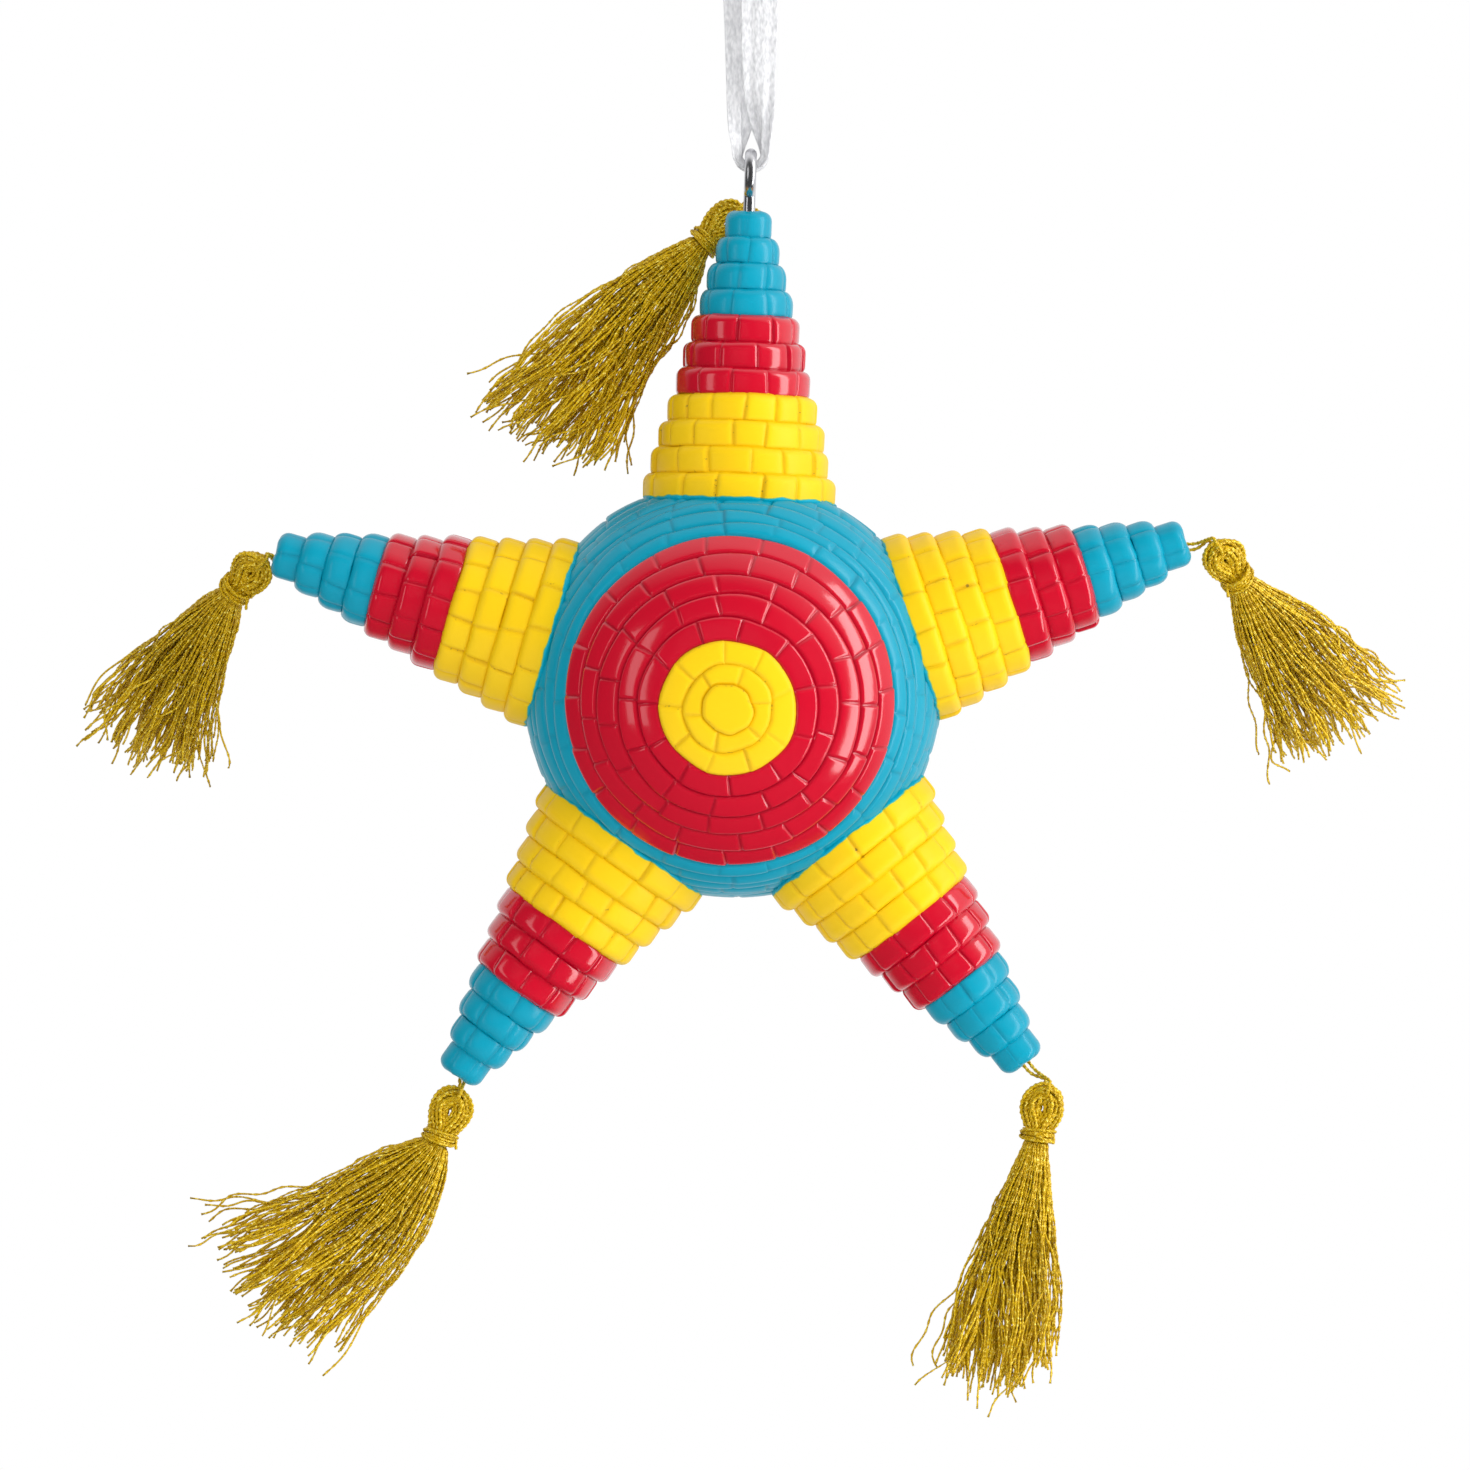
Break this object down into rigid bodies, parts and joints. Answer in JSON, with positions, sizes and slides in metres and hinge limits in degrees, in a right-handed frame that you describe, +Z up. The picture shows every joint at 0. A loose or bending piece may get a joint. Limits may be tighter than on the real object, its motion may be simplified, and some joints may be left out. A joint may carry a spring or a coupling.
{
  "type": "hanging star ornament",
  "caption": "Small hanging star ornament shaped like a pinata: a ball with stepped cones in painted brick rows, a tassel at each tip, an eye screw and a ribbon loop.",
  "frame": {"origin": "hanging point: the middle of the knot's underside, at the top of the ribbon loop", "axes": "+Z up, the front with the painted disc faces -Y, the star lies in the XZ plane"},
  "size_m": [0.1462, 0.0471, 0.1701],
  "materials": {
    "ball_paint": "glossy hand-painted enamel over moulded plastic, blue with a red disc and a yellow centre",
    "cone_paint": "glossy hand-painted enamel over moulded plastic, blue at the tip, red, then yellow at the base",
    "wire": "bright plated steel wire",
    "ribbon": "thin white satin ribbon, slightly see-through",
    "gold_thread": "twisted metallic gold thread"
  },
  "bodies": {
    "hanger": {"ribbon": "ribbon", "ribbon_knot": "ribbon"},
    "star": {"eye_screw": "wire", "ball_front": "ball_paint", "ball_back": "ball_paint", "top_cone": "cone_paint", "left_cone": "cone_paint", "lower_left_cone": "cone_paint", "lower_right_cone": "cone_paint", "right_cone": "cone_paint"},
    "top_loop": {"top_tassel_loop": "gold_thread"},
    "top_tassel": {"top_tassel_head": "gold_thread", "top_tassel_binding": "gold_thread", "top_tassel_skirt": "gold_thread"},
    "left_loop": {"left_tassel_loop": "gold_thread"},
    "left_tassel": {"left_tassel_head": "gold_thread", "left_tassel_binding": "gold_thread", "left_tassel_skirt": "gold_thread"},
    "lower_left_loop": {"lower_left_tassel_loop": "gold_thread"},
    "lower_left_tassel": {"lower_left_tassel_head": "gold_thread", "lower_left_tassel_binding": "gold_thread", "lower_left_tassel_skirt": "gold_thread"},
    "lower_right_loop": {"lower_right_tassel_loop": "gold_thread"},
    "lower_right_tassel": {"lower_right_tassel_head": "gold_thread", "lower_right_tassel_binding": "gold_thread", "lower_right_tassel_skirt": "gold_thread"},
    "right_loop": {"right_tassel_loop": "gold_thread"},
    "right_tassel": {"right_tassel_head": "gold_thread", "right_tassel_binding": "gold_thread", "right_tassel_skirt": "gold_thread"}
  },
  "joints": [
    {"name": "star_swing", "type": "hinge", "parent": "hanger", "child": "star", "pos_m": [0, 0, -0.02465], "axis": [0, 1, 0], "range_deg": [-35, 35]},
    {"name": "top_loop_swing", "type": "hinge", "parent": "star", "child": "top_loop", "pos_m": [-0.00029, 0.0027, -0.0329], "axis": [0, 1, 0], "range_deg": [0, 60]},
    {"name": "top_tassel_tilt", "type": "hinge", "parent": "top_loop", "child": "top_tassel", "pos_m": [-0.00101, 0.0044, -0.0304], "axis": [0.6561, 0, -0.7547], "range_deg": [-10, 50]},
    {"name": "left_loop_swing", "type": "hinge", "parent": "star", "child": "left_loop", "pos_m": [-0.05, 0.0027, -0.06875], "axis": [0, 1, 0], "range_deg": [-15, 45]},
    {"name": "left_tassel_tilt", "type": "hinge", "parent": "left_loop", "child": "left_tassel", "pos_m": [-0.05339, 0.0018, -0.06893], "axis": [0.7071, 0, -0.7071], "range_deg": [-40, 25]},
    {"name": "lower_left_loop_swing", "type": "hinge", "parent": "star", "child": "lower_left_loop", "pos_m": [-0.031, 0.0027, -0.12362], "axis": [0, 1, 0], "range_deg": [-15, 35]},
    {"name": "lower_left_tassel_tilt", "type": "hinge", "parent": "lower_left_loop", "child": "lower_left_tassel", "pos_m": [-0.03202, 0.0018, -0.12718], "axis": [0.9205, 0, -0.3907], "range_deg": [-45, 45]},
    {"name": "lower_right_loop_swing", "type": "hinge", "parent": "star", "child": "lower_right_loop", "pos_m": [0.02875, 0.0027, -0.12226], "axis": [0, 1, 0], "range_deg": [-50, 50]},
    {"name": "lower_right_tassel_tilt", "type": "hinge", "parent": "lower_right_loop", "child": "lower_right_tassel", "pos_m": [0.03227, 0.0018, -0.12662], "axis": [0.9848, 0, -0.1736], "range_deg": [-45, 45]},
    {"name": "right_loop_swing", "type": "hinge", "parent": "star", "child": "right_loop", "pos_m": [0.04555, 0.0027, -0.0675], "axis": [0, 1, 0], "range_deg": [-50, 45]},
    {"name": "right_tassel_tilt", "type": "hinge", "parent": "right_loop", "child": "right_tassel", "pos_m": [0.05074, 0.0018, -0.06731], "axis": [0.7986, 0, 0.6018], "range_deg": [-60, 25]}
  ]
}
